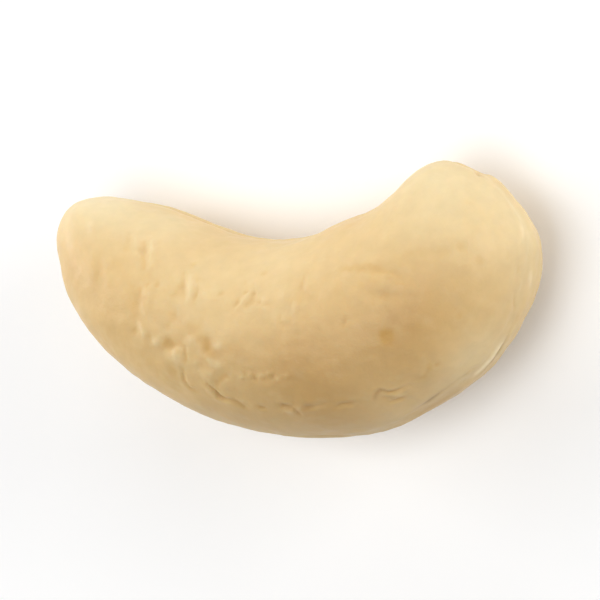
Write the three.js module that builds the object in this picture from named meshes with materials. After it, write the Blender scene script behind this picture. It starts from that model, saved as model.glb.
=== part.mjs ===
// A shelled cashew kernel lying on its side. It grew as one piece, so it is one solid: two seed leaves
// pressed together, with the seam between them running all round the edge of the crescent.
// Units are millimetres and +Z is up. The origin is on the surface that the kernel lies on, under its middle.

import * as THREE from "three";
import { mergeVertices } from "three/addons/utils/BufferGeometryUtils.js";

// Faces: steps round the section, which crowd towards the seam, and steps from the small end to the head.
const STEPS_AROUND = 72;
const STEPS_ALONG = 64;
const SEAM_CROWDING = 0.6;

// The crescent has a plane of its own: X along the kernel, +Y to its hollow side and Z across it.
// Its spine runs from the tip of the small end, through the belly, to the crown of the head.
const SPINE = new THREE.CubicBezierCurve3(
  new THREE.Vector3(-11.1, 5.5, 0),
  new THREE.Vector3(-9.9, -1.5, 0),
  new THREE.Vector3(7.7, -7.4, 0),
  new THREE.Vector3(9.6, 6.4, 0),
);

// Half the section's depth, in the crescent's plane, and half its thickness, across it, eased along the spine.
const HALF_DEPTH = [5.8, 3.5, 4.95, 8.05];
const HALF_THICKNESS = [6.1, 4.7, 4.9, 7.0];
const END_BLUNTNESS = 0.8; // under 1 the ends are blunter across than an ellipse's
const BACK_FULLNESS = 0.04; // how much thicker the section is towards the back than towards the hollow
const FLANK_POWER = 0.9; // under 1 the broad sides are flatter than an ellipse's

// The seam: a groove between two soft lips, deepest in the hollow and almost closed round the back and the head.
const SEAM_DEPTH_BACK = 0.09;
const SEAM_DEPTH_HOLLOW = 0.36;
const SEAM_HOLLOW = { at: [-1, 6], reach: 8 };
const SEAM_WIDTH = 0.27;
const LIP_HEIGHT_ABOVE = 0.04;
const LIP_HEIGHT_BELOW = 0.08;
const LIP_OFFSET = 0.6;
const LIP_WIDTH = 0.36;

// The pit at the crown that the root tip leaves when it breaks off.
const ROOT_PIT_DEPTH = 0.8;
const ROOT_PIT_RADIUS = 0.5;

// Broad swells (+) and dents (-) of uneven growth, across the edge of the crescent: place, reach and height.
const SWELLS = [
  { at: [7.7, 6.7], reach: 2.1, height: 0.45 }, // inner shoulder of the head
  { at: [11.0, 5.6], reach: 2.5, height: -0.45 }, // slope from the crown to the back
  { at: [12.3, 1.5], reach: 2.6, height: 0.4 }, // cheek of the head
  { at: [7.3, -5.4], reach: 2.2, height: -0.24 }, // back below the head
  { at: [0.4, -7.0], reach: 3.2, height: -0.17 }, // middle of the back
  { at: [5.1, 5.1], reach: 2.0, height: -0.3 }, // hollow beside the head
  { at: [-8.0, 5.2], reach: 2.0, height: -0.15 }, // hollow beside the small end
  { at: [-12.0, 4.7], reach: 1.6, height: 0.15 }, // tip of the small end
  { at: [-12.5, 2.2], reach: 2.0, height: -0.12 }, // back of the small end
];

// How it lies: tipped until the head and the small end carry it, each on a small flat worn to this depth.
const TIP_ABOUT_X = -12;
const TIP_ABOUT_Y = -0.5;
const CONTACT_FLAT = 0.1;

// A value eased along the spine as a cubic Bezier does it, from 0 at the small end to 1 at the head.
function eased([a, b, c, d], along) {
  const rest = 1 - along;
  return a * rest ** 3 + 3 * b * along * rest ** 2 + 3 * c * along ** 2 * rest + d * along ** 3;
}

// A soft hump, 1 in the middle and about a third at its reach.
function hump(distance, reach) {
  return Math.exp(-((distance / reach) ** 2));
}

// The power of a number that keeps its sign.
function signedPower(value, power) {
  return Math.sign(value) * Math.abs(value) ** power;
}

// Swells a unit ball into the bent kernel: its poles become the tip of the small end and the crown.
function bendBall(direction) {
  const along = (1 + direction.y) / 2;
  const round = Math.sqrt(Math.max(0, 1 - direction.y ** 2));
  const even = Math.atan2(direction.z, direction.x);
  const around = even - (SEAM_CROWDING / 2) * Math.sin(2 * even);
  const outward = Math.cos(around); // 1 at the back, -1 at the hollow
  const tangent = SPINE.getTangent(along);
  const back = new THREE.Vector3(tangent.y, -tangent.x, 0);
  const thickness = eased(HALF_THICKNESS, along) * (1 + BACK_FULLNESS * outward);
  return SPINE.getPoint(along)
    .addScaledVector(back, eased(HALF_DEPTH, along) * round * outward)
    .setZ(thickness * round ** END_BLUNTNESS * signedPower(Math.sin(around), FLANK_POWER));
}

// Changes every vertex by what the given function makes of its place.
function mapVertices(geometry, change) {
  const position = geometry.attributes.position;
  const place = new THREE.Vector3();
  for (let i = 0; i < position.count; i++) {
    const moved = change(place.fromBufferAttribute(position, i), i);
    position.setXYZ(i, moved.x, moved.y, moved.z);
  }
}

// Raises the surface along its normals by the height that relief gives for each place.
function raise(geometry, relief) {
  geometry.computeVertexNormals();
  const normal = geometry.attributes.normal;
  const out = new THREE.Vector3();
  mapVertices(geometry, (place, i) => place.addScaledVector(out.fromBufferAttribute(normal, i), relief(place)));
  geometry.deleteAttribute("normal");
}

function swellRelief(place) {
  return SWELLS.reduce((height, swell) => {
    const away = Math.hypot(place.x - swell.at[0], place.y - swell.at[1]);
    return height + swell.height * hump(away, swell.reach);
  }, 0);
}

function seamRelief(place) {
  const across = Math.abs(place.z);
  const fromHollow = Math.hypot(place.x - SEAM_HOLLOW.at[0], place.y - SEAM_HOLLOW.at[1]);
  const inHollow = hump(fromHollow, SEAM_HOLLOW.reach);
  const depth = THREE.MathUtils.lerp(SEAM_DEPTH_BACK, SEAM_DEPTH_HOLLOW, inHollow);
  const lip = place.z > 0 ? LIP_HEIGHT_ABOVE : LIP_HEIGHT_BELOW;
  return lip * hump(across - LIP_OFFSET, LIP_WIDTH) - depth * hump(across, SEAM_WIDTH);
}

function rootPitRelief(place) {
  return -ROOT_PIT_DEPTH * hump(place.distanceTo(SPINE.getPoint(1)), ROOT_PIT_RADIUS);
}

// Lays the kernel on the surface, centred over the origin, and wears flats where it touches.
function layDown(geometry) {
  const tip = new THREE.Euler(THREE.MathUtils.degToRad(TIP_ABOUT_X), THREE.MathUtils.degToRad(TIP_ABOUT_Y), 0);
  geometry.applyMatrix4(new THREE.Matrix4().makeRotationFromEuler(tip));
  geometry.computeBoundingBox();
  const middle = geometry.boundingBox.getCenter(new THREE.Vector3());
  geometry.translate(-middle.x, -middle.y, -geometry.boundingBox.min.z - CONTACT_FLAT);
  mapVertices(geometry, (place) => place.setZ(Math.max(place.z, 0)));
}

function makeKernelGeometry() {
  const ball = new THREE.SphereGeometry(1, STEPS_AROUND, STEPS_ALONG);
  ball.deleteAttribute("normal");
  ball.deleteAttribute("uv");
  const geometry = mergeVertices(ball);
  mapVertices(geometry, bendBall);
  raise(geometry, swellRelief);
  raise(geometry, seamRelief);
  raise(geometry, rootPitRelief);
  layDown(geometry);
  return geometry;
}

const kernelFlesh = new THREE.MeshStandardMaterial({ color: 0xe8cb99, roughness: 0.55, metalness: 0 });
const kernel = new THREE.Mesh(makeKernelGeometry(), kernelFlesh);
kernel.name = "cashew_kernel";

const cashew = new THREE.Group();
cashew.add(kernel);

export default cashew;
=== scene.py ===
"""A shelled cashew kernel lying on its side: fine shape, flesh, stage and camera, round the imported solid.

Sizes are millimetres, as in the solid, and become metres where they meet Blender. The kernel has a frame
of its own, the crescent's: X along it towards the head, Y to its hollow side and Z across it, with the seam
near Z = 0.
"""

import logging
import math
import random
from collections.abc import Callable
from dataclasses import dataclass, field
from enum import Enum

import bpy
import numpy as np
from mathutils import Euler, Matrix, Vector, noise
from mathutils.bvhtree import BVHTree


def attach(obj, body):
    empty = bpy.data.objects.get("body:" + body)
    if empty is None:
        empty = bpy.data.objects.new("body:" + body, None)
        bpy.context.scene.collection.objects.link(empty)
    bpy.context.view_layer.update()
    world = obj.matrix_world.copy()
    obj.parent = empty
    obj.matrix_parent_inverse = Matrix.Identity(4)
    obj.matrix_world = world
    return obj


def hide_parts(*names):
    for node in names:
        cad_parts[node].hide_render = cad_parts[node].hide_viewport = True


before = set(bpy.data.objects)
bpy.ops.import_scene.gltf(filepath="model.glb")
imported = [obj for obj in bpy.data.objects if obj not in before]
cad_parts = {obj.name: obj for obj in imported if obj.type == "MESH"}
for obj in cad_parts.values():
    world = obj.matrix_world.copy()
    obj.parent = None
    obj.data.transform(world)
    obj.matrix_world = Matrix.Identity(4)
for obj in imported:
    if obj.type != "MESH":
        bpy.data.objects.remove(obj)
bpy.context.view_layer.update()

MM = 0.001

# Sockets of a Mix node that mixes colours: the colour under, the colour over it and what comes out.
MIX_UNDER = 6
MIX_OVER = 7
MIX_RESULT = 2

# Chance patterns: how far each seed shifts its pattern, and how layers get fainter and finer.
PATTERN_SHIFT = (7.3, 3.1, 5.7)
LAYER_FADING = 1.0
LAYER_FINENESS = 2.0

# Share of a line, at each end, along which it fades no further.
LINE_END = 0.02

Pixel = tuple[float, float]
Colour = tuple[float, float, float]
Span = tuple[float, float]
Table = tuple[tuple[float, float], ...]

log = logging.getLogger("cashew")


class Mark(Enum):
    """Tints over the flesh's own colour, each a mask kept on the mesh; several are painted shade or painted
    light.
    """

    # painted shade in the seam's cut and in creases
    SEAM = "seam_shade"
    # partly painted light: paler on rises, along the upper edges and beside the seam
    PALE_AND_LIT = "pallor_and_painted_light"
    # partly painted shade in deep dips and low on the belly, partly blotches of the flesh
    TAN = "tan_and_shade"
    # partly painted shade in shallow dips, partly golden blotches
    GOLD_AND_SHADE = "gold_and_shade"
    STAIN = "stain"
    # painted highlights on ridges, the lip of the seam and the tip
    HIGHLIGHT = "painted_highlight"


class Pattern(Enum):
    """The chance patterns on the kernel, each with the seed that picks it."""

    BROAD_GROWTH = 1
    CLOSE_GROWTH = 2
    SEAM_WANDER = 4
    SEAM_JITTER = 5
    SEAM_LIPS = 6
    SEAM_GAPE = 8
    PEBBLES = 9
    STRAY_X = 11
    STRAY_Y = 12
    STRAY_Z = 13
    BREAKS = 14
    TINT_EDGES = 15


def deselect_all() -> None:
    """Leaves nothing selected, so that the next operator acts on its own object alone."""
    bpy.ops.object.select_all(action="DESELECT")


def copy_of(original: bpy.types.Object, name: str) -> bpy.types.Object:
    """Copies an object with its mesh, without its notes, and leaves the copy alone selected and active.

    Args:
        original: What is copied.
        name: The name of the copy and of its mesh.

    Returns:
        The copy.
    """
    deselect_all()
    original.select_set(True)
    bpy.context.view_layer.objects.active = original
    bpy.ops.object.duplicate()
    copy = bpy.context.object
    copy.name = copy.data.name = name
    for note in list(copy.keys()):
        del copy[note]
    return copy


def hump(distance: np.ndarray, reach: float | np.ndarray) -> np.ndarray:
    """A soft hump over distance, 1 in the middle and about a third at its reach."""
    return np.exp(-((distance / reach) ** 2))


def ramp(value: np.ndarray, start: float, full: float) -> np.ndarray:
    """An eased ramp over values, 0 up to its start and 1 from where it is full."""
    share = np.clip((value - start) / (full - start), 0, 1)
    return share * share * (3 - 2 * share)


def fade_at_ends(along: np.ndarray) -> np.ndarray:
    """How strong a line is at shares from 0 to 1 along it: full in its middle and fading out at its ends."""
    return np.sqrt(np.sin(math.pi * np.clip(along, LINE_END, 1 - LINE_END)))


def unevenness(points: np.ndarray, size: float, pattern: Pattern, octaves: int = 3) -> np.ndarray:
    """Smooth chance variation over points, the same at every run.

    Args:
        points: Places in millimetres, one a row.
        size: How far apart its swells are, in millimetres.
        pattern: Which pattern it is.
        octaves: How many layers it has, each finer than the one before.

    Returns:
        One value for each point, mostly between -1 and 1.
    """
    shift = Vector([step * pattern.value for step in PATTERN_SHIFT])
    return np.array([noise.fractal(Vector(point) + shift, LAYER_FADING, LAYER_FINENESS, octaves)
                     for point in points / size])


def rows_of(items: bpy.types.bpy_prop_collection, attribute: str) -> np.ndarray:
    """Reads a vector of each item of a mesh.

    Args:
        items: The mesh's items, such as its vertices.
        attribute: Name of the vector.

    Returns:
        The vectors, one a row.
    """
    flat = np.zeros(len(items) * 3)
    items.foreach_get(attribute, flat)
    return flat.reshape(-1, 3)


def away_from_line(points: np.ndarray, line: np.ndarray) -> tuple[np.ndarray, np.ndarray]:
    """How far points are from a line of straight stretches.

    Args:
        points: Places, one a row.
        line: The line's corners, one a row.

    Returns:
        Each point's distance from the line, and where along it, from 0 to 1, the line is nearest.
    """
    nearest = np.full(len(points), np.inf)
    share = np.zeros(len(points))
    stretches = len(line) - 1
    for i, (start, end) in enumerate(zip(line, line[1:])):
        run = end - start
        part = np.clip((points - start) @ run / (run @ run), 0, 1)
        away = np.linalg.norm(points - start - part[:, None] * run, axis=1)
        closer = away < nearest
        nearest[closer] = away[closer]
        share[closer] = (i + part[closer]) / stretches
    return nearest, share


def around(places: np.ndarray) -> np.ndarray:
    """Degrees round the crescent, from the middle of the head's side, that places are at."""
    return np.degrees(np.arctan2(places[:, 1], places[:, 0]))


def looked_up(table: Table, places: np.ndarray) -> np.ndarray:
    """What a table has for places: its pairs are degrees round the crescent and values there."""
    return np.interp(around(places), *zip(*table))


@dataclass(frozen=True)
class CrescentFrame:
    """Where the crescent's own frame lies in the part's frame, as the solid has it.

    Attributes:
        tip_about_x: Degrees that the kernel is tipped about X, its hollow side going down.
        tip_about_y: Degrees that it is tipped about Y.
        middle: Where the crescent's own origin is, in millimetres.
    """

    tip_about_x: float = -12.0
    tip_about_y: float = -0.5
    middle: tuple[float, float, float] = (0.04, 0.17, 4.84)

    def turn(self) -> Matrix:
        """The rotation from the crescent's frame to the part's."""
        about_x = Euler((math.radians(self.tip_about_x), 0, 0)).to_matrix()
        return about_x @ Euler((0, math.radians(self.tip_about_y), 0)).to_matrix()

    def to_part(self, vector: Vector) -> Vector:
        """The place in the part's frame, in metres, of a place in the crescent's frame, in millimetres."""
        return (self.turn() @ vector + Vector(self.middle)) * MM

    def to_crescent(self, places: np.ndarray) -> np.ndarray:
        """Places in the crescent's frame, in millimetres, of places in the part's frame, in metres."""
        return (places / MM - np.array(self.middle)) @ np.array(self.turn())


@dataclass(frozen=True)
class PhotoView:
    """The angle and framing that the kernel is seen at.

    Attributes:
        crescent: The crescent's frame.
        yaw: Degrees that the camera stands to the head's side of the line straight across the crescent.
        pitch: Degrees that it stands to the back's side of that line.
        distance: From the crescent's middle, in millimetres.
        width: Width of what the picture shows there, in millimetres.
        sensor: Width of the camera's sensor, in millimetres.
        middle_px: Photograph pixel that the crescent's middle is at.
        px_per_mm: Photograph pixels in a millimetre of the kernel.
    """

    crescent: CrescentFrame
    yaw: float = 27.0
    pitch: float = 5.0
    distance: float = 600.0
    width: float = 30.0
    sensor: float = 36.0
    middle_px: Pixel = (284.5, 432.5)
    px_per_mm: float = 8.65

    def axes(self) -> tuple[Vector, Vector, Vector]:
        """Works out how the picture lies.

        Returns:
            The picture's right and up and the way to the camera, in the crescent's frame.
        """
        sin_yaw, cos_yaw = math.sin(math.radians(self.yaw)), math.cos(math.radians(self.yaw))
        sin_pitch, cos_pitch = math.sin(math.radians(self.pitch)), math.cos(math.radians(self.pitch))
        right = Vector((cos_yaw, 0, -sin_yaw))
        up = Vector((sin_yaw * sin_pitch, cos_pitch, cos_yaw * sin_pitch))
        return right, up, right.cross(up)

    def at_pixel(self, pixel: Pixel) -> Vector:
        """Finds where the line of sight through a pixel passes the crescent's middle.

        Args:
            pixel: The photograph's pixel.

        Returns:
            The place, level with the middle, in the crescent's frame.
        """
        right, up, _ = self.axes()
        across = (pixel[0] - self.middle_px[0]) / self.px_per_mm
        down = (pixel[1] - self.middle_px[1]) / self.px_per_mm
        return right * across - up * down

    def eye(self) -> Vector:
        """Where the camera is, in the crescent's frame."""
        return self.axes()[2] * self.distance

    def add_camera(self) -> bpy.types.Object:
        """Adds the camera and makes it the scene's.

        Returns:
            The camera.
        """
        turn = self.crescent.turn()
        facing = Matrix([turn @ axis for axis in self.axes()]).transposed().to_euler()
        deselect_all()
        bpy.ops.object.camera_add(location=self.crescent.to_part(self.eye()), rotation=facing)
        camera = bpy.context.object
        camera.name = "camera"
        camera.data.sensor_width = self.sensor
        camera.data.lens = self.sensor * self.distance / self.width
        bpy.context.scene.camera = camera
        return camera


class FleshNodes:
    """Lays out a material's nodes, with patterns on Object coordinates and on the masks of a mesh."""

    def __init__(self, material: bpy.types.Material) -> None:
        """Starts with the material's own shader and with the place on the flesh.

        Args:
            material: A new material.
        """
        material.use_nodes = True
        self.nodes = material.node_tree.nodes
        self.links = material.node_tree.links
        self.shader = self.nodes["Principled BSDF"]
        self.place = self.nodes.new("ShaderNodeTexCoord").outputs["Object"]

    def cloud(self, size: float, detail: float) -> bpy.types.NodeSocket:
        """Adds a noise over the flesh.

        Args:
            size: How far apart its clouds are, in millimetres.
            detail: How many finer layers it has.

        Returns:
            Its value, from 0 to 1.
        """
        texture = self.nodes.new("ShaderNodeTexNoise")
        texture.inputs["Scale"].default_value = 1 / (size * MM)
        texture.inputs["Detail"].default_value = detail
        self.links.new(self.place, texture.inputs["Vector"])
        return texture.outputs["Fac"]

    def spread(self, value: bpy.types.NodeSocket, span: Span, to: Span) -> bpy.types.NodeSocket:
        """Maps a span of a value to another span, and holds it at that span's ends.

        Args:
            value: The value.
            span: The part of its range that counts.
            to: What that part becomes.

        Returns:
            The new value.
        """
        ranged = self.nodes.new("ShaderNodeMapRange")
        ranged.inputs["From Min"].default_value, ranged.inputs["From Max"].default_value = span
        ranged.inputs["To Min"].default_value, ranged.inputs["To Max"].default_value = to
        self.links.new(value, ranged.inputs["Value"])
        return ranged.outputs["Result"]

    def mask(self, mark: Mark) -> bpy.types.NodeSocket:
        """Reads a mask that the kernel's mesh carries.

        Args:
            mark: What the mask is for.

        Returns:
            Its value, from 0 to 1.
        """
        attribute = self.nodes.new("ShaderNodeAttribute")
        attribute.attribute_name = mark.value
        return attribute.outputs["Fac"]

    def tint(self, under: bpy.types.NodeSocket | Colour, colour: Colour,
             share: bpy.types.NodeSocket) -> bpy.types.NodeSocket:
        """Lays a colour over another.

        Args:
            under: The colour under it.
            colour: The colour that is laid over it.
            share: How much of it covers what is under it.

        Returns:
            The mixed colour.
        """
        mix = self.nodes.new("ShaderNodeMix")
        mix.data_type = "RGBA"
        self.links.new(share, mix.inputs["Factor"])
        if isinstance(under, bpy.types.NodeSocket):
            self.links.new(under, mix.inputs[MIX_UNDER])
        else:
            mix.inputs[MIX_UNDER].default_value = (*under, 1)
        mix.inputs[MIX_OVER].default_value = (*colour, 1)
        return mix.outputs[MIX_RESULT]


@dataclass(frozen=True)
class Flesh:
    """The finish of the kernel: waxy cream flesh, more golden in places, with a few brown marks and painted
    shade and light.

    Colours are linear. Spans of a noise say where its pattern starts and where it is full.

    Attributes:
        cream: The flesh's own colour.
        golden: Its colour in blotches, and as painted shade in shallow dips.
        pale: Its colour in fine mottles, and as painted light on rises, on the upper edges and beside the
            seam.
        bright: Its colour in painted highlights: on the lip of the seam, on the tip and in a few strokes at
            the edge.
        tan_and_shade: Its colour as painted shade in deep dips and on the shaded belly, and in a few
            blotches.
        brown: Its colour in stains.
        shade: Its colour for the painted shade inside the seam.
        roughness: From its waxiest to its dullest places.
        specular: How strongly it shines.
        subsurface: Share of the light that goes in and comes out beside where it fell.
        subsurface_reach: How far that light goes.
        subsurface_radius: How far red, green and blue go, as shares of that.
        blotch_size: How far apart the golden blotches are.
        blotch_span: Span of their noise.
        blotch_share: How golden they are.
        mottle_size: How far apart the pale mottles are.
        mottle_span: Span of their noise.
        mottle_share: How pale they are.
        fleck_size: How far apart lighter and darker flecks are.
        fleck_values: How bright the darkest and the lightest flecks are, as shares of the colour under them.
        usual_span: Span of the noises that lie all over the flesh.
        grain_size: How far apart the skin's grains are.
        grain_height: How high they are.
    """

    cream: Colour = (0.68, 0.490, 0.238)
    golden: Colour = (0.66, 0.440, 0.180)
    pale: Colour = (0.74, 0.600, 0.345)
    bright: Colour = (0.97, 0.820, 0.560)
    tan_and_shade: Colour = (0.57, 0.355, 0.135)
    brown: Colour = (0.50, 0.255, 0.020)
    shade: Colour = (0.33, 0.170, 0.065)
    roughness: Span = (0.45, 0.60)
    specular: float = 0.4
    subsurface: float = 0.25
    subsurface_reach: float = 1.0
    subsurface_radius: tuple[float, float, float] = (1.0, 0.55, 0.25)
    blotch_size: float = 4.0
    blotch_span: Span = (0.38, 0.70)
    blotch_share: float = 0.5
    mottle_size: float = 0.8
    mottle_span: Span = (0.50, 0.75)
    mottle_share: float = 0.14
    fleck_size: float = 0.7
    fleck_values: Span = (0.97, 1.03)
    usual_span: Span = (0.30, 0.70)
    grain_size: float = 0.16
    grain_height: float = 0.012

    def material(self) -> bpy.types.Material:
        """Makes the flesh's material.

        Returns:
            A material whose patterns lie on Object coordinates and on the kernel's own masks.
        """
        material = bpy.data.materials.new("kernel_flesh")
        nodes = FleshNodes(material)
        inputs = nodes.shader.inputs
        nodes.links.new(self.colour(nodes), inputs["Base Color"])
        dullness = nodes.spread(nodes.cloud(self.mottle_size, detail=2), self.usual_span, self.roughness)
        nodes.links.new(dullness, inputs["Roughness"])
        bump = nodes.nodes.new("ShaderNodeBump")
        bump.inputs["Distance"].default_value = self.grain_height * MM
        nodes.links.new(nodes.cloud(self.grain_size, detail=3), bump.inputs["Height"])
        nodes.links.new(bump.outputs["Normal"], inputs["Normal"])
        inputs["Subsurface Weight"].default_value = self.subsurface
        inputs["Subsurface Scale"].default_value = self.subsurface_reach * MM
        inputs["Subsurface Radius"].default_value = self.subsurface_radius
        inputs["Specular IOR Level"].default_value = self.specular
        return material

    def colour(self, nodes: FleshNodes) -> bpy.types.NodeSocket:
        """Lays the tints over each other.

        Args:
            nodes: The material's nodes.

        Returns:
            The flesh's colour.
        """
        blotches = nodes.cloud(self.blotch_size, detail=3)
        blotches = nodes.spread(blotches, self.blotch_span, (0, self.blotch_share))
        mottles = nodes.cloud(self.mottle_size, detail=4)
        mottles = nodes.spread(mottles, self.mottle_span, (0, self.mottle_share))
        colour = nodes.tint(self.cream, self.golden, blotches)
        # golden blotches, and painted shade in shallow dips
        colour = nodes.tint(colour, self.golden, nodes.mask(Mark.GOLD_AND_SHADE))
        # partly painted shade in deep dips and low on the belly
        colour = nodes.tint(colour, self.tan_and_shade, nodes.mask(Mark.TAN))
        colour = nodes.tint(colour, self.pale, mottles)
        # pale patches and rises: partly painted light
        colour = nodes.tint(colour, self.pale, nodes.mask(Mark.PALE_AND_LIT))
        # painted highlights
        colour = nodes.tint(colour, self.bright, nodes.mask(Mark.HIGHLIGHT))
        colour = nodes.tint(colour, self.brown, nodes.mask(Mark.STAIN))
        # painted shade inside the seam
        colour = nodes.tint(colour, self.shade, nodes.mask(Mark.SEAM))
        flecks = nodes.nodes.new("ShaderNodeHueSaturation")
        values = nodes.spread(nodes.cloud(self.fleck_size, detail=3), self.usual_span, self.fleck_values)
        nodes.links.new(values, flecks.inputs["Value"])
        nodes.links.new(colour, flecks.inputs["Color"])
        return flecks.outputs["Color"]


@dataclass(frozen=True)
class Pock:
    """A round rise or dip in the flesh: a small pock, or a broad swell.

    Attributes:
        pixel: Photograph pixel of its middle.
        radius: How far it reaches, in millimetres.
        height: Millimetres that it stands above the surface, or below it where negative.
    """

    pixel: Pixel
    radius: float
    height: float


@dataclass(frozen=True)
class Wrinkle:
    """A fine crease in the flesh, between two faint banks.

    Attributes:
        pixels: Photograph pixels that it passes.
        width: Half its width, in millimetres.
        depth: Its depth, in millimetres, or its height where negative.
    """

    pixels: tuple[Pixel, ...]
    width: float
    depth: float


@dataclass(frozen=True)
class Pebbled:
    """A patch where the flesh is pebbled and finely wrinkled.

    Attributes:
        pixel: Photograph pixel of its middle.
        reach: How far it spreads, in millimetres.
        height: How high its pebbles stand, in millimetres.
    """

    pixel: Pixel
    reach: float
    height: float


@dataclass(frozen=True)
class Patch:
    """A soft patch of another tint.

    Attributes:
        mark: Which tint it has.
        pixel: Photograph pixel of its middle.
        reach: How far it spreads, in millimetres.
        strength: How much of the tint it has in its middle.
    """

    mark: Mark
    pixel: Pixel
    reach: float
    strength: float


@dataclass(frozen=True)
class Streak:
    """A fine line of another tint.

    Attributes:
        mark: Which tint it has.
        pixels: Photograph pixels that it passes.
        width: Half its width, in millimetres.
        strength: How much of the tint it has.
    """

    mark: Mark
    pixels: tuple[Pixel, ...]
    width: float
    strength: float


@dataclass(frozen=True)
class ReliefTint:
    """A tint on fine rises, as painted light, or, where its heights are negative, in fine dips, as painted
    shade.

    Attributes:
        mark: Which tint it is.
        start: Height that it starts at, in millimetres.
        full: Height that it is full at.
        strength: How much of the tint there is where it is full.
    """

    mark: Mark
    start: float
    full: float
    strength: float


# Broad swells and dents that finish the outline.
SWELLS = (
    # tip of the small end
    Pock((186.5, 397.5), 1.7, 0.180),
    Pock((197.0, 390.5), 1.5, 0.080),
    # cheek of the head
    Pock((386.0, 422.5), 1.6, -0.200),
    Pock((379.5, 394.5), 1.1, -0.120),
    # outline of the crown
    Pock((355.0, 374.1), 0.7, -0.085),
    Pock((360.5, 376.2), 0.7, -0.085),
    Pock((356.2, 376.0), 0.6, 0.050),
    Pock((359.5, 377.3), 0.5, 0.050),
)

# Where the flesh is pebbled.
PEBBLED = (
    Pebbled((233, 452), 2.0, 0.060),
    Pebbled((216, 411), 1.1, 0.052),
    Pebbled((218, 430), 1.2, 0.040),
    Pebbled((237, 426), 1.2, 0.040),
    Pebbled((262, 431), 1.1, 0.060),
    Pebbled((283, 437), 1.7, 0.060),
    Pebbled((250, 470), 1.4, 0.040),
    Pebbled((268, 466), 1.0, 0.035),
    Pebbled((280, 479), 1.3, 0.035),
    Pebbled((324, 473), 1.1, 0.035),
    Pebbled((312, 426), 2.2, 0.028),
    Pebbled((345, 411), 2.0, 0.018),
)

# Small pits and bumps.
POCKS = (
    # cluster between the small end and the belly
    Pock((212.5, 446.0), 0.24, -0.038),
    Pock((215.6, 444.0), 0.22, 0.051),
    Pock((216.9, 446.9), 0.26, 0.068),
    Pock((219.6, 448.8), 0.20, -0.038),
    Pock((222.2, 451.1), 0.26, 0.068),
    Pock((227.2, 451.7), 0.34, -0.060),
    Pock((229.4, 456.7), 0.42, 0.072),
    Pock((228.4, 461.3), 0.34, -0.038),
    Pock((237.8, 449.6), 0.30, 0.043),
    Pock((239.6, 459.6), 0.30, 0.043),
    Pock((243.9, 453.3), 0.32, -0.065),
    Pock((243.4, 449.8), 0.26, -0.045),
    Pock((248.9, 452.6), 0.30, 0.060),
    Pock((245.0, 458.4), 0.28, 0.068),
    Pock((249.0, 460.4), 0.26, 0.060),
    Pock((242.5, 464.5), 0.24, 0.034),
    # small end
    Pock((193.5, 401.3), 0.20, 0.040),
    Pock((219.0, 425.8), 0.16, -0.040),
    Pock((221.0, 425.6), 0.15, 0.040),
    Pock((223.1, 425.9), 0.16, -0.040),
    Pock((238.1, 417.6), 0.24, -0.040),
    Pock((243.1, 429.5), 0.20, 0.040),
    # middle and head
    Pock((268.8, 421.2), 0.22, -0.030),
    Pock((285.0, 427.2), 0.26, -0.036),
    Pock((302.8, 442.4), 0.26, -0.036),
    Pock((343.1, 460.6), 0.15, -0.050),
    Pock((353.4, 439.4), 0.20, -0.030),
    Pock((353.3, 409.8), 0.25, -0.030),
    Pock((357.5, 390.2), 0.25, -0.030),
    Pock((362.0, 415.0), 0.25, -0.030),
    # notch at the crown
    Pock((361.7, 377.9), 0.24, -0.220),
    # row of small bumps and pits on the belly
    Pock((258.6, 465.8), 0.16, 0.050),
    Pock((260.6, 464.4), 0.14, -0.040),
    Pock((262.4, 464.8), 0.17, 0.065),
    Pock((264.8, 466.2), 0.15, -0.050),
    Pock((267.2, 465.2), 0.17, 0.060),
    Pock((269.2, 466.6), 0.13, -0.040),
    Pock((270.8, 464.2), 0.15, 0.045),
    Pock((272.6, 465.8), 0.15, -0.050),
    Pock((274.8, 466.4), 0.17, 0.060),
    Pock((278.2, 465.4), 0.15, 0.045),
    Pock((279.8, 467.0), 0.14, -0.040),
)

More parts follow.
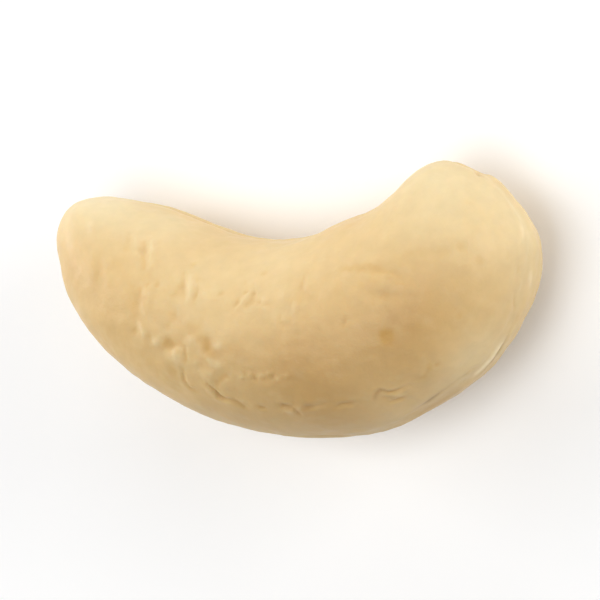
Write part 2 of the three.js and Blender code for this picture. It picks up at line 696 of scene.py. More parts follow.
# Creases and, where the depth is negative, ridges.
WRINKLES = (
    # strokes across the small end
    Wrinkle(((209.9, 402.5), (210, 407), (209.6, 411)), 0.18, 0.025),
    Wrinkle(((213.2, 404.5), (213.5, 409), (213.4, 414)), 0.16, -0.055),
    Wrinkle(((216.7, 406), (216.9, 411.3), (216.6, 418.5)), 0.18, 0.040),
    Wrinkle(((220.4, 406), (220.4, 411), (219.6, 419)), 0.15, -0.060),
    Wrinkle(((198, 413), (198.3, 418.5), (197.8, 425.5)), 0.20, 0.030),
    Wrinkle(((214.9, 426.5), (214.9, 431.3), (214.2, 437), (213.4, 440.5)), 0.30, 0.050),
    Wrinkle(((235, 419.5), (234, 423), (232.4, 428.5)), 0.17, 0.060),
    Wrinkle(((237.2, 422.5), (236.6, 427.6), (237, 433)), 0.15, -0.065),
    Wrinkle(((239.6, 427), (239.6, 430.4), (239, 433.5)), 0.14, 0.050),
    # short strokes in the middle
    Wrinkle(((248.4, 429.8), (251.6, 429.6)), 0.15, 0.045),
    Wrinkle(((256, 435.4), (256.8, 433.6), (257.4, 432.2)), 0.16, 0.065),
    Wrinkle(((260.2, 435.4), (262, 434.9), (263.2, 433.6)), 0.16, 0.065),
    Wrinkle(((260.6, 432.4), (262, 431), (263, 429.6)), 0.14, -0.035),
    Wrinkle(((260.4, 430.2), (261, 428.4)), 0.13, 0.065),
    Wrinkle(((263.8, 431), (264.6, 429)), 0.14, 0.060),
    Wrinkle(((266.4, 434.6), (268, 433.4)), 0.13, 0.065),
    Wrinkle(((268.8, 435), (271.4, 434.6)), 0.14, 0.065),
    Wrinkle(((275, 439.6), (276.2, 442.6), (278.6, 444), (281, 443.4)), 0.14, 0.040),
    Wrinkle(((280.2, 436), (281.8, 433.2)), 0.14, 0.040),
    Wrinkle(((277, 447.4), (283, 446.2), (288, 447.6)), 0.16, 0.030),
    Wrinkle(((285, 428), (285.4, 424.5), (286.7, 421.5)), 0.16, 0.024),
    Wrinkle(((302.4, 443), (306, 440)), 0.16, 0.030),
    # broken crease below the cluster and along the belly
    Wrinkle(((235, 452.4), (234.8, 456), (235.4, 459.4)), 0.11, 0.060),
    Wrinkle(((233.3, 461.5), (233.6, 464.5), (234.2, 467.2), (236.7, 470.4), (240, 472.2)), 0.11, 0.060),
    Wrinkle(((244.6, 469), (247, 471.8), (249.2, 474), (252.8, 475.6), (256, 476.2)), 0.12, 0.140),
    Wrinkle(((256.6, 476.6), (258.6, 477.4), (260.8, 478.8)), 0.14, 0.110),
    Wrinkle(((266.5, 478.4), (269.6, 479.2)), 0.14, 0.100),
    Wrinkle(((275.8, 477.8), (278.6, 478.2), (281.4, 478.8)), 0.16, 0.120),
    Wrinkle(((281.2, 479), (283.2, 480.6), (284.8, 482.6)), 0.14, 0.110),
    Wrinkle(((285.5, 479.8), (288.5, 478.8), (293, 478.2), (297.6, 476.8)), 0.14, 0.065),
    Wrinkle(((299.6, 479), (303.4, 477.8), (308, 477)), 0.14, 0.060),
    # long shallow folds towards the head
    Wrinkle(((297, 420), (306, 418.6), (315, 418.6), (323.9, 420.8), (331.7, 423), (338, 424.9)),
            0.28, 0.040),
    Wrinkle(((313, 430), (324, 429.7), (333, 431.6)), 0.28, 0.040),
    Wrinkle(((327, 412.8), (336, 411.3), (344, 411.9), (352, 409.8)), 0.30, 0.040),
    Wrinkle(((312.5, 433), (319.6, 436.4)), 0.20, -0.020),
    # hook and loop below the spot
    Wrinkle(((317, 475.6), (317.3, 473), (319.3, 471.5), (322.9, 472.3), (326.1, 471.8), (332, 469.6)),
            0.11, 0.080),
    Wrinkle(((322.8, 476.6), (326, 475.9), (330, 474.7)), 0.15, 0.060),
    Wrinkle(((330.2, 464.5), (334.7, 466.3), (338, 465.6), (339.9, 462), (340, 458), (338.4, 454.5)),
            0.18, 0.030),
    # strokes along the edge of the head
    Wrinkle(((374.4, 411.5), (374.8, 416)), 0.14, 0.020),
    Wrinkle(((379, 416.5), (379.2, 422)), 0.15, 0.030),
    Wrinkle(((377.6, 429.5), (377.8, 433.5), (377.2, 437.5)), 0.16, 0.030),
    Wrinkle(((380.6, 400), (380.9, 406.5)), 0.15, -0.050),
    Wrinkle(((384.8, 420.5), (384.8, 427.5)), 0.15, -0.050),
    # end of the seam's first line below the head, and the raised lip of its second
    Wrinkle(((355.6, 465), (358.4, 462.9), (360.6, 461)), 0.11, 0.040),
    Wrinkle(((360.2, 464.4), (364.3, 460.2), (366.7, 457.4), (369, 454.3), (371.4, 451)), 0.14, -0.060),
)

# Soft patches of tint, by their tints: the broad tan ones low on the belly are painted shade, the pale ones
# partly painted light.
PATCHES = (
    Patch(Mark.TAN, (283, 463), 3.2, 0.85),
    Patch(Mark.TAN, (326, 453), 3.0, 0.75),
    Patch(Mark.TAN, (300, 484), 2.2, 0.45),
    Patch(Mark.TAN, (341, 428), 2.2, 0.30),
    Patch(Mark.TAN, (345, 392.5), 0.4, 0.22),
    Patch(Mark.TAN, (197, 424), 0.8, 0.28),
    Patch(Mark.TAN, (187, 416), 1.0, 0.35),
    Patch(Mark.TAN, (214, 437), 0.8, 0.25),
    Patch(Mark.TAN, (246, 456), 0.6, 0.60),
    Patch(Mark.TAN, (256, 455), 0.7, 0.45),
    Patch(Mark.TAN, (231, 442), 1.0, 0.30),
    Patch(Mark.TAN, (246, 479), 1.5, 0.25),
    Patch(Mark.TAN, (264, 484), 1.2, 0.30),
    Patch(Mark.TAN, (285, 454), 1.6, 0.30),
    Patch(Mark.TAN, (327, 444), 0.8, 0.35),
    Patch(Mark.TAN, (334, 436), 0.8, 0.30),
    Patch(Mark.GOLD_AND_SHADE, (200, 440), 3.2, 0.60),
    Patch(Mark.GOLD_AND_SHADE, (198, 420), 2.0, 0.30),
    Patch(Mark.GOLD_AND_SHADE, (185, 413), 1.5, 0.80),
    Patch(Mark.GOLD_AND_SHADE, (342, 424), 2.8, 0.60),
    Patch(Mark.GOLD_AND_SHADE, (265, 484), 3.0, 0.50),
    Patch(Mark.GOLD_AND_SHADE, (225, 467), 2.4, 0.45),
    Patch(Mark.GOLD_AND_SHADE, (284, 462), 2.4, 0.45),
    Patch(Mark.GOLD_AND_SHADE, (332.5, 441.5), 1.8, 0.50),
    Patch(Mark.STAIN, (320, 446.4), 0.25, 0.14),
    Patch(Mark.STAIN, (227.3, 451.9), 0.32, 0.26),
    Patch(Mark.STAIN, (243.4, 449.6), 0.28, 0.22),
    Patch(Mark.STAIN, (244.4, 452.8), 0.26, 0.22),
    Patch(Mark.STAIN, (245.3, 455.6), 0.26, 0.22),
    Patch(Mark.PALE_AND_LIT, (200, 391), 2.0, 1.00),
    Patch(Mark.PALE_AND_LIT, (228, 399), 1.9, 0.55),
    Patch(Mark.PALE_AND_LIT, (343, 377), 2.6, 0.85),
    Patch(Mark.PALE_AND_LIT, (383, 403), 2.4, 0.65),
    Patch(Mark.PALE_AND_LIT, (350, 400), 2.2, 0.35),
    Patch(Mark.PALE_AND_LIT, (329, 404), 1.6, 0.20),
    Patch(Mark.PALE_AND_LIT, (368, 384), 1.6, 0.25),
    Patch(Mark.PALE_AND_LIT, (205, 404), 2.2, 0.25),
    Patch(Mark.PALE_AND_LIT, (187, 395), 1.0, 0.30),
    Patch(Mark.PALE_AND_LIT, (275, 412), 2.4, 0.25),
    Patch(Mark.PALE_AND_LIT, (240, 424), 2.2, 0.28),
    Patch(Mark.PALE_AND_LIT, (279, 433), 2.2, 0.22),
    Patch(Mark.PALE_AND_LIT, (360, 457), 1.5, 0.45),
    # painted highlight on the tip
    Patch(Mark.HIGHLIGHT, (196, 390), 1.8, 0.16),
)

# Fine lines of tint.
STREAKS = (
    # painted highlight on the lip of the seam below the head, and painted shade under it
    Streak(Mark.HIGHLIGHT, ((359.4, 465.2), (361.7, 462.9), (364.3, 460.2), (366.7, 457.4)), 0.19, 0.70),
    Streak(Mark.HIGHLIGHT, ((364.3, 460.2), (366.7, 457.4), (369, 454.3), (370.6, 452.2), (372, 450)), 0.19, 0.70),
    Streak(Mark.SEAM, ((362.6, 464.3), (366.5, 460.5), (370.2, 455.5), (373.1, 451.0)), 0.09, 0.55),
    # painted shade on the darkest stretch of the seam, and a darker edge below it
    Streak(Mark.SEAM, ((337.6, 478), (341.8, 474.7), (345.4, 472.4)), 0.16, 0.45),
    Streak(Mark.TAN, ((332, 483), (338, 480.3), (344.3, 477), (350, 473.2), (354, 470.3)), 0.50, 0.55),
    # painted shade in the corner of the hook
    Streak(Mark.SEAM, ((316.9, 476.4), (317.1, 473.8), (318.8, 471.4), (321.6, 471.8)), 0.13, 0.34),
    # painted highlights in strokes at the edge of the head and on the tip
    Streak(Mark.HIGHLIGHT, ((380.6, 400), (380.9, 406.5)), 0.15, 0.25),
    Streak(Mark.HIGHLIGHT, ((384.8, 419.5), (384.8, 428)), 0.20, 0.40),
    Streak(Mark.HIGHLIGHT, ((193.6, 398.6), (193.8, 404)), 0.18, 0.30),
)

# Tints that follow the fine relief: painted shade in fine dips and painted light on fine rises.
RELIEF_TINTS = (
    ReliefTint(Mark.GOLD_AND_SHADE, -0.003, -0.030, 0.80),
    ReliefTint(Mark.TAN, -0.015, -0.070, 0.60),
    ReliefTint(Mark.PALE_AND_LIT, 0.015, 0.080, 0.45),
)


@dataclass(frozen=True)
class PlacedPock:
    """A pock at its place on the kernel.

    Attributes:
        middle: Its middle, in the crescent's frame.
        radius: How far it reaches.
        height: How high it stands, or how deep it is where negative.
    """

    middle: np.ndarray
    radius: float
    height: float

    def relief(self, places: np.ndarray) -> np.ndarray:
        """Its height at each place."""
        return self.height * hump(np.linalg.norm(places - self.middle, axis=1), self.radius)


@dataclass(frozen=True)
class PlacedWrinkle:
    """A wrinkle at its place on the kernel.

    Attributes:
        line: The places that it passes, one a row, in the crescent's frame.
        width: Half its width.
        depth: Its depth, or its height where negative.
        bank_height: How high its banks are, as a share of its depth.
        bank_offset: How far they stand from its middle, in half widths.
        bank_width: Half their width, in half widths of the wrinkle.
    """

    line: np.ndarray
    width: float
    depth: float
    bank_height: float = 0.3
    bank_offset: float = 2.2
    bank_width: float = 1.2

    def relief(self, places: np.ndarray) -> np.ndarray:
        """Works out its shape.

        Args:
            places: Places in the crescent's frame, one a row.

        Returns:
            Its height at each place.
        """
        away, along = away_from_line(places, self.line)
        banks = self.bank_height * hump(away - self.bank_offset * self.width, self.bank_width * self.width)
        return self.depth * fade_at_ends(along) * (banks - hump(away, self.width))


@dataclass(frozen=True)
class HiddenMarks:
    """Pocks and wrinkles like the others, strewn over the sides that the photograph doesn't show.

    Attributes:
        seed: Picks where they lie.
        pocks: How many pits and bumps there are.
        pock_radius: Their smallest and largest radius.
        pock_height: Their depth and height at most.
        wrinkles: How many wrinkles there are.
        wrinkle_width: Half the width of the narrowest and the widest.
        wrinkle_depth: Depth of the shallowest and the deepest.
        stretches: Fewest and most straight stretches that a wrinkle has.
        stretch: Length of a stretch.
        heading: How far wrinkles tend to run along X, Y and Z.
        turn: How much a wrinkle turns between stretches.
    """

    seed: int = 7
    pocks: int = 60
    pock_radius: Span = (0.16, 0.34)
    pock_height: Span = (-0.08, 0.06)
    wrinkles: int = 70
    wrinkle_width: Span = (0.11, 0.26)
    wrinkle_depth: Span = (0.02, 0.055)
    stretches: tuple[int, int] = (2, 5)
    stretch: float = 0.6
    heading: tuple[float, float, float] = (1.0, 0.6, 0.6)
    turn: float = 0.35

    def strewn_pocks(self, unseen: np.ndarray) -> list[PlacedPock]:
        """Strews the pocks.

        Args:
            unseen: Places on the sides that don't show, one a row.

        Returns:
            The pocks.
        """
        chance = random.Random(self.seed)
        return [PlacedPock(unseen[chance.randrange(len(unseen))], chance.uniform(*self.pock_radius),
                           chance.uniform(*self.pock_height)) for _ in range(self.pocks)]

    def strewn_wrinkles(self, unseen: np.ndarray,
                        nearest: Callable[[np.ndarray], np.ndarray]) -> list[PlacedWrinkle]:
        """Strews the wrinkles.

        Args:
            unseen: Places on the sides that don't show, one a row.
            nearest: Gives the place on the kernel that is nearest to a place.

        Returns:
            The wrinkles.
        """
        chance = random.Random(self.seed + 1)
        wrinkles = []
        for _ in range(self.wrinkles):
            line = [unseen[chance.randrange(len(unseen))]]
            heading = np.array([chance.gauss(0, share) for share in self.heading])
            for _ in range(chance.randint(*self.stretches)):
                heading = heading / np.linalg.norm(heading) + [chance.gauss(0, self.turn) for _ in range(3)]
                line.append(nearest(line[-1] + self.stretch * heading / np.linalg.norm(heading)))
            width = chance.uniform(*self.wrinkle_width)
            wrinkles.append(PlacedWrinkle(np.array(line), width, chance.uniform(*self.wrinkle_depth)))
        return wrinkles


@dataclass(frozen=True)
class Seam:
    """The seam between the two seed leaves, which runs round the crescent and wanders about its plane.

    Tables are pairs of degrees round the crescent, from the middle of the head's side, and values there.

    Attributes:
        first_line: Photograph pixels on the line of it that shows from the belly to the head.
        second_line: Photograph pixels on its other line, from beside the first one's end to the crown.
        unseen_track: Table of how far it lies above the plane where it doesn't show.
        wander: How far it strays from its track.
        wander_size: How far apart these swings are.
        jitter: How far it strays in short swings.
        jitter_size: How far apart these are.
        gapes: Table of how far it gapes, as a share.
        gape_change: How much that changes along it, as a share.
        gape_size: How far apart these changes are.
        depth: Depth of its cut where it gapes most.
        width_above: Half width of the cut above its line.
        width_below: Half width below it.
        lip_height: Height of its lips.
        lip_offset: How far they stand from its line.
        lip_width: Half their width.
        lip_size: How far apart the stretches are where they stand up.
        lip_span: Span of the unevenness over which they rise.
        grown_shut: Table of how far the solid's groove is filled, as a share, where the seam has grown shut.
        groove_depth: Depth of that groove round the head.
        groove_width: Half its width.
        shade: How dark the painted shade in the cut is.
        shade_width: Half the width of that shade.
        pallor_and_painted_light: How pale the flesh is beside the cut, as painted light on its lips.
        pale_offset: How far that is from the seam's line.
        pale_width: Half the width of the pale strips.
    """

    first_line: tuple[Pixel, ...] = (
        (331, 482), (337.5, 477.3), (342, 474.1), (348.4, 470), (352.9, 466.8), (357.5, 463.8))
    second_line: tuple[Pixel, ...] = (
        (363.8, 463.4), (366.5, 460.5), (370.2, 455.5), (372.9, 451.4), (376, 443), (377.5, 433),
        (379, 420), (378.5, 408), (378, 399), (374, 390), (362, 377.8))
    unseen_track: Table = ((-75, 0), (-54, -0.1), (-48, 0.2), (36, 0.1), (45, 0))
    wander: float = 0.12
    wander_size: float = 3.0
    jitter: float = 0.06
    jitter_size: float = 0.8
    gapes: Table = (
        (-180, 0.5), (-80, 0.4), (-62, 0.05), (-48, 0.02), (-41, 0.1), (-37, 0.45), (-33, 0.42), (-29, 0.22),
        (-25, 0.2), (-23.6, 0.3), (-22.8, 0), (-21.2, 0), (-20, 0.6), (-14, 0.6), (-9, 0.1), (-3, 0.04),
        (22, 0.04), (31, 0.08), (35, 0.5), (40, 1), (160, 1), (180, 0.5))
    gape_change: float = 0.5
    gape_size: float = 1.2
    depth: float = 0.11
    width_above: float = 0.10
    width_below: float = 0.30
    lip_height: float = 0.04
    lip_offset: float = 0.35
    lip_width: float = 0.22
    lip_size: float = 2.2
    lip_span: Span = (-0.3, 0.5)
    grown_shut: Table = ((-80, 0), (-62, 1), (30, 1), (36, 0))
    groove_depth: float = 0.09
    groove_width: float = 0.27
    shade: float = 0.6
    shade_width: float = 0.1
    pallor_and_painted_light: float = 0.4
    pale_offset: float = 0.4
    pale_width: float = 0.3

    def across(self, places: np.ndarray, track: Table) -> np.ndarray:
        """Measures places from the seam's line.

        Args:
            places: Places in the crescent's frame, one a row.
            track: Table of how far the seam lies above the plane.

        Returns:
            How far each is from the line, across it, and negative below it.
        """
        in_plane = places * (1, 1, 0)
        wander = self.wander * unevenness(in_plane, self.wander_size, Pattern.SEAM_WANDER)
        jitter = self.jitter * unevenness(in_plane, self.jitter_size, Pattern.SEAM_JITTER)
        return places[:, 2] - looked_up(track, places) - wander - jitter

    def gape(self, places: np.ndarray) -> np.ndarray:
        """How far the seam gapes beside each place, as a share."""
        change = self.gape_change * unevenness(places * (1, 1, 0), self.gape_size, Pattern.SEAM_GAPE)
        return np.clip(looked_up(self.gapes, places) * (1 + change), 0, 1)

    def filling(self, places: np.ndarray) -> np.ndarray:
        """How much the solid's groove is filled at each place, in millimetres."""
        groove = self.groove_depth * hump(places[:, 2], self.groove_width)
        return groove * looked_up(self.grown_shut, places)

    def relief(self, places: np.ndarray, track: Table) -> np.ndarray:
        """Works out the shape of the cut and its lips.

        Args:
            places: Places in the crescent's frame, one a row.
            track: Table of how far the seam lies above the plane.

        Returns:
            Millimetres that the surface rises at each place.
        """
        across = self.across(places, track)
        standing = ramp(unevenness(places, self.lip_size, Pattern.SEAM_LIPS), *self.lip_span)
        lips = self.lip_height * hump(np.abs(across) - self.lip_offset, self.lip_width) * standing
        width = np.where(across > 0, self.width_above, self.width_below)
        return self.gape(places) * (lips - self.depth * hump(across, width))

    def tints(self, places: np.ndarray, track: Table) -> tuple[np.ndarray, np.ndarray]:
        """Works out the painted shade in the seam's cut and the painted light beside it.

        Args:
            places: Places in the crescent's frame, one a row.
            track: Table of how far the seam lies above the plane.

        Returns:
            How dark the painted shade in the cut is at each place, and how pale the painted light beside it
            is.
        """
        across = self.across(places, track)
        gape = self.gape(places)
        beside = hump(np.abs(across) - self.pale_offset, self.pale_width)
        return self.shade * gape * hump(across, self.shade_width), self.pallor_and_painted_light * gape * beside


@dataclass(frozen=True)
class Spot:
    """The brown spot: a dimple with a stained middle and rim.

    Attributes:
        pixel: Photograph pixel of its middle.
        radius: Radius of its rim.
        depth: Depth of its dimple.
        stain: How brown its middle is.
        stain_reach: How far that stain spreads.
        rim_stain: How brown its rim is.
        rim_width: Half the rim's width.
    """

    pixel: Pixel = (322, 448.5)
    radius: float = 0.32
    depth: float = 0.03
    stain: float = 0.40
    stain_reach: float = 0.32
    rim_stain: float = 0.20
    rim_width: float = 0.15

    def dimple(self) -> Pock:
        """The spot's dimple."""
        return Pock(self.pixel, self.radius, -self.depth)

    def stains(self, away: np.ndarray) -> np.ndarray:
        """How brown the flesh is at distances from the spot's middle."""
        rim = self.rim_stain * hump(away - self.radius, self.rim_width)
        return rim + self.stain * hump(away, self.stain_reach)


@dataclass
class Kernel:
    """The kernel: the solid's form with its fine relief and its marks.

    Attributes:
        crescent: The crescent's frame.
        view: The view that the marks are placed by.
        seam: The seam round its edge.
        spot: The brown spot.
        hidden: The marks on the sides that the photograph doesn't show.
        flesh: Its finish.
        node: Name of the solid.
        slot: Material slot that the record gives it; not used.
        weld: Vertices of the solid that are closer than this are joined.
        quad_angle: Most degrees by which triangles of the solid may be off when they are joined to quads.
        levels: Times that the solid's faces are divided before the fine skin is laid over them.
        face_side: Side of the fine skin's faces.
        growth: Height of its uneven growth.
        broad_growth: How far apart the broad swells of that are.
        close_growth: How far apart the close ones are.
        stray: How far pocks and wrinkles stray from even circles and lines.
        stray_size: How far apart these swings are.
        pebble_size: How far apart the pebbles are where the flesh is pebbled.
        pebble_stray: How far they stray.
        wrinkle_strength: How deep wrinkles are on average, as a share of their depth.
        wrinkle_breaks: How much that changes along them, as a share.
        break_size: How far apart these changes are.
        tint_stray: How far the edges of tints stray.
        streak_stray: How far those of streaks do.
        tint_stray_size: How far apart these swings are.
        unseen_facing: Surfaces that face the camera less than this aren't shown by the photograph.
        piece: The finished piece.
        tree: The smooth form under its relief, which marks are placed on.
        track: Table of how far its seam lies above the plane.
        fine: Height of the fine relief at each vertex.
    """

    crescent: CrescentFrame
    view: PhotoView
    seam: Seam = Seam()
    spot: Spot = Spot()
    hidden: HiddenMarks = HiddenMarks()
    flesh: Flesh = Flesh()
    node: str = "cashew_kernel"
    slot: str = "kernel"
    weld: float = 0.001
    quad_angle: float = 60.0
    levels: int = 2
    face_side: float = 0.12
    growth: float = 0.05
    broad_growth: float = 5.0
    close_growth: float = 1.6
    stray: float = 0.09
    stray_size: float = 0.8
    pebble_size: float = 0.75
    pebble_stray: float = 0.18
    wrinkle_strength: float = 0.9
    wrinkle_breaks: float = 0.45
    break_size: float = 0.9
    tint_stray: float = 0.15
    streak_stray: float = 0.045
    tint_stray_size: float = 0.5
    unseen_facing: float = -0.1
    piece: bpy.types.Object = field(init=False)
    tree: BVHTree = field(init=False)
    track: Table = field(init=False)
    fine: np.ndarray = field(init=False)

    def build(self) -> bpy.types.Object:
        """Makes the kernel's piece and gives it its finish.

        Returns:
            The finished piece.
        """
        self.copy_solid()
        self.trace_seam()
        self.raise_relief()
        self.paint_marks()
        self.piece.data.materials.clear()
        self.piece.data.materials.append(self.flesh.material())
        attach(self.piece, "root")
        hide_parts(self.node)
        return self.piece

    def copy_solid(self) -> None:
        """Copies the solid, smooths its faces and lays a skin of small, even faces over them."""
        form = copy_of(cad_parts[self.node], "form")
        bpy.ops.object.mode_set(mode="EDIT")
        bpy.ops.mesh.select_all(action="SELECT")
        bpy.ops.mesh.remove_doubles(threshold=self.weld * MM)
        joining = math.radians(self.quad_angle)
        bpy.ops.mesh.tris_convert_to_quads(face_threshold=joining, shape_threshold=joining)
        bpy.ops.object.mode_set(mode="OBJECT")
        smooth = form.modifiers.new("smooth", "SUBSURF")
        smooth.levels = smooth.render_levels = self.levels
        bpy.ops.object.modifier_apply(modifier=smooth.name)
        self.piece = copy_of(form, "kernel")
        self.piece.data.remesh_voxel_size = self.face_side * MM
        bpy.ops.object.voxel_remesh()
        cling = self.piece.modifiers.new("cling", "SHRINKWRAP")
        cling.target = form
        bpy.ops.object.modifier_apply(modifier=cling.name)
        bpy.ops.object.shade_smooth()
        bpy.data.meshes.remove(form.data)
        self.tree = BVHTree.FromObject(self.piece, bpy.context.evaluated_depsgraph_get())

    def vertices(self) -> np.ndarray:
        """The vertices' places in the part's frame, in metres, one a row."""
        return rows_of(self.piece.data.vertices, "co")

    def normals(self) -> np.ndarray:
        """The vertices' normals, one a row."""
        return rows_of(self.piece.data.vertex_normals, "vector")

    def places(self) -> np.ndarray:
        """The vertices' places in the crescent's frame, in millimetres, one a row."""
        return self.crescent.to_crescent(self.vertices())

    def raise_by(self, heights: np.ndarray) -> None:
        """Raises the surface along its normals and keeps it on the floor.

        Args:
            heights: Millimetres for each vertex.
        """
        moved = self.vertices() + self.normals() * heights[:, None] * MM
        moved[:, 2] = np.maximum(moved[:, 2], 0)
        self.piece.data.vertices.foreach_set("co", moved.ravel())
        self.piece.data.update()

    def on_surface(self, pixel: Pixel) -> np.ndarray:
        """Finds the place on the kernel that a photograph pixel shows.

        Args:
            pixel: The pixel, from the photograph's top left.

        Returns:
            The place in the crescent's frame, in millimetres.

        Raises:
            ValueError: If the pixel is beside the kernel.
        """
        eye = self.crescent.to_part(self.view.eye())
        aim = self.crescent.to_part(self.view.at_pixel(pixel))
        hit = self.tree.ray_cast(eye, (aim - eye).normalized())[0]
        if hit is None:
            raise ValueError(f"pixel {pixel} is beside the kernel")
        return self.crescent.to_crescent(np.array([hit]))[0]

    def line_on_surface(self, pixels: tuple[Pixel, ...]) -> np.ndarray:
        """The places on the kernel, one a row, that photograph pixels show."""
        return np.array([self.on_surface(pixel) for pixel in pixels])

    def nearest(self, place: np.ndarray) -> np.ndarray:
        """The place on the kernel that is nearest to a place, both in the crescent's frame."""
        near = self.tree.find_nearest(self.crescent.to_part(Vector(place)))[0]
        return self.crescent.to_crescent(np.array([near]))[0]

    def near_pixel(self, places: np.ndarray, pixel: Pixel, reach: float) -> np.ndarray:
        """A soft hump round the place that a photograph pixel shows."""
        return hump(np.linalg.norm(places - self.on_surface(pixel), axis=1), reach)

    def unseen(self, places: np.ndarray) -> np.ndarray:
        """The places on the sides that the photograph doesn't show."""
        to_camera = np.array(self.crescent.turn() @ self.view.axes()[2])
        return places[self.normals() @ to_camera < self.unseen_facing]

    def placed_pocks(self, pocks: tuple[Pock, ...]) -> list[PlacedPock]:
        """Pocks at the places that their pixels show."""
        return [PlacedPock(self.on_surface(pock.pixel), pock.radius, pock.height) for pock in pocks]

    def placed_wrinkles(self, wrinkles: tuple[Wrinkle, ...]) -> list[PlacedWrinkle]:
        """Wrinkles at the places that their pixels show."""
        return [PlacedWrinkle(self.line_on_surface(wrinkle.pixels), wrinkle.width, wrinkle.depth)
                for wrinkle in wrinkles]

    def trace_seam(self) -> None:
        """Works out the seam's track, from its lines where they show and as it is guessed elsewhere."""
        shown = self.line_on_surface(self.seam.first_line + self.seam.second_line)
        self.track = tuple(sorted([*self.seam.unseen_track, *zip(around(shown), shown[:, 2])]))

    def raise_relief(self) -> None:
        """Gives the surface its uneven growth and swells, then its seam, then its fine relief."""
        places = self.places()
        growth = unevenness(places, self.broad_growth, Pattern.BROAD_GROWTH)
        growth += unevenness(places, self.close_growth, Pattern.CLOSE_GROWTH, octaves=4)
        swells = sum(swell.relief(places) for swell in self.placed_pocks(SWELLS))
        self.raise_by(self.growth * growth + swells)
        self.raise_by(self.seam.filling(places))
        self.raise_by(self.seam.relief(places, self.track))
        self.fine = self.fine_relief(places)
        self.raise_by(self.fine)

    def fine_relief(self, places: np.ndarray) -> np.ndarray:
        """Works out the shape of the pebbles, the pocks and the wrinkles.

        Args:
            places: Places in the crescent's frame, one a row.

        Returns:
            Millimetres that the surface rises at each place.
        """
        strays = (Pattern.STRAY_X, Pattern.STRAY_Y, Pattern.STRAY_Z)
        swings = [unevenness(places, self.stray_size, stray, octaves=2) for stray in strays]
        astray = np.stack(swings, axis=1)
        strayed = places + self.stray * astray
        pebbled = places + self.pebble_stray * astray
        pebbles = unevenness(pebbled, self.pebble_size, Pattern.PEBBLES, octaves=2)
        breaks = self.wrinkle_breaks * unevenness(places, self.break_size, Pattern.BREAKS, octaves=2)
        unseen = self.unseen(places)
        pocks = self.placed_pocks((self.spot.dimple(), *POCKS)) + self.hidden.strewn_pocks(unseen)
        wrinkles = self.placed_wrinkles(WRINKLES) + self.hidden.strewn_wrinkles(unseen, self.nearest)
        heights = np.zeros(len(places))
        for patch in PEBBLED:
            heights += patch.height * pebbles * self.near_pixel(places, patch.pixel, patch.reach)
        for pock in pocks:
            heights += pock.relief(strayed)
        for wrinkle in wrinkles:
            heights += (self.wrinkle_strength + breaks) * wrinkle.relief(strayed)
        return heights

    def paint_marks(self) -> None:
        """Keeps masks on the mesh of where the seam, the spot, fine relief and tints colour the flesh, much
        of it painted shade and light.
        """
        places = self.places()
        astray = unevenness(places, self.tint_stray_size, Pattern.TINT_EDGES, octaves=2)
        from_spot = np.linalg.norm(places - self.on_surface(self.spot.pixel), axis=1)
        masks = {mark: np.zeros(len(places)) for mark in Mark}
        # painted shade in the seam's cut and painted light beside it
        masks[Mark.SEAM], masks[Mark.PALE_AND_LIT] = self.seam.tints(places, self.track)
        masks[Mark.STAIN] += self.spot.stains(from_spot + self.tint_stray * astray)
        # painted shade in fine dips and painted light on fine rises
        for tint in RELIEF_TINTS:
            masks[tint.mark] += tint.strength * ramp(self.fine, tint.start, tint.full)
        for patch in PATCHES:
            masks[patch.mark] += patch.strength * self.near_pixel(places, patch.pixel, patch.reach)
        for streak in STREAKS:
            away, along = away_from_line(places, self.line_on_surface(streak.pixels))
            line = fade_at_ends(along) * hump(away + self.streak_stray * astray, streak.width)
            masks[streak.mark] += streak.strength * line
        for mark, values in masks.items():
            attribute = self.piece.data.attributes.new(mark.value, "FLOAT", "POINT")
            attribute.data.foreach_set("value", np.clip(values, 0, 1).astype(np.float32))


@dataclass(frozen=True)
class SoftLight:
    """A square studio light that faces the kernel.

    Attributes:
        name: Its name.
        bearing: Degrees from +X towards +Y that it stands at.
        height: Degrees above the floor.
        power: Watts.
        distance: From the origin, in millimetres.
        side: Length of its side, in millimetres.
    """

    name: str
    bearing: float
    height: float
    power: float
    distance: float = 350.0
    side: float = 200.0

    def add(self) -> bpy.types.Object:
        """Adds the light, turned towards the kernel.

        Returns:
            The light.
        """
        deselect_all()
        turn = Euler((0, -math.radians(self.height), math.radians(self.bearing))).to_matrix()
        out = turn @ Vector((1, 0, 0))
        facing = out.to_track_quat("Z", "Y").to_euler()
        bpy.ops.object.light_add(type="AREA", location=out * self.distance * MM, rotation=facing)
        light = bpy.context.object
        light.name = self.name
        light.data.size = self.side * MM
        light.data.energy = self.power
        return light


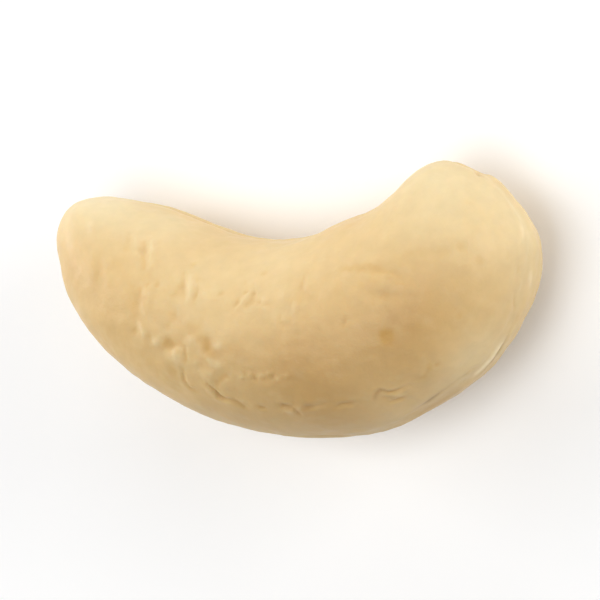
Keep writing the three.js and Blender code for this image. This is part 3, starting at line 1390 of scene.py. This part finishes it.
@dataclass(frozen=True)
class FloorPaint:
    """The finish of the floor: a plain, pale, matte paint.

    Attributes:
        colour: Its colour.
        roughness: How dull it is.
        glow: How much it glows by itself.
    """

    colour: Colour = (0.95, 0.95, 0.95)
    roughness: float = 0.9
    glow: float = 0.05

    def material(self) -> bpy.types.Material:
        """Makes the paint's material.

        Returns:
            The material.
        """
        material = bpy.data.materials.new("floor_paint")
        material.use_nodes = True
        inputs = material.node_tree.nodes["Principled BSDF"].inputs
        inputs["Base Color"].default_value = (*self.colour, 1)
        inputs["Roughness"].default_value = self.roughness
        inputs["Emission Color"].default_value = (1, 1, 1, 1)
        inputs["Emission Strength"].default_value = self.glow
        return material


@dataclass(frozen=True)
class Studio:
    """The pale floor, the sky and the soft lights.

    Attributes:
        floor_side: Length of the floor's side, in millimetres.
        paint: The floor's finish.
        sky: Strength of the white sky.
        lights: The lights.
    """

    floor_side: float = 3000.0
    paint: FloorPaint = FloorPaint()
    sky: float = 0.28
    lights: tuple[SoftLight, ...] = (
        SoftLight("overhead_light", 90, 88, 0.575),
        SoftLight("head_side_light", 20, 14, 0.65),
        SoftLight("small_end_light", 165, 14, 0.81),
        SoftLight("hollow_side_light", 90, 14, 0.30),
    )

    def build(self) -> bpy.types.Object:
        """Adds the floor, the sky and the lights.

        Returns:
            The floor.
        """
        deselect_all()
        bpy.ops.mesh.primitive_plane_add(size=self.floor_side * MM)
        floor = bpy.context.object
        floor.name = "floor"
        floor.data.materials.append(self.paint.material())
        self.add_sky()
        for light in self.lights:
            light.add()
        bpy.context.scene.view_settings.view_transform = "Standard"
        return floor

    def add_sky(self) -> None:
        """Adds the white sky."""
        world = bpy.data.worlds.new("studio")
        world.use_nodes = True
        background = world.node_tree.nodes["Background"]
        background.inputs["Color"].default_value = (1, 1, 1, 1)
        background.inputs["Strength"].default_value = self.sky
        bpy.context.scene.world = world


def main() -> None:
    """Builds the kernel, the stage and the camera."""
    logging.basicConfig(level=logging.INFO, format="%(name)s: %(message)s")
    crescent = CrescentFrame()
    view = PhotoView(crescent)
    kernel = Kernel(crescent, view).build()
    log.info("%s: %d faces", kernel.name, len(kernel.data.polygons))
    floor = Studio().build()
    log.info("%s: stage", floor.name)
    camera = view.add_camera()
    log.info("%s: %.0f mm lens", camera.name, camera.data.lens)


if __name__ == "__main__":
    main()
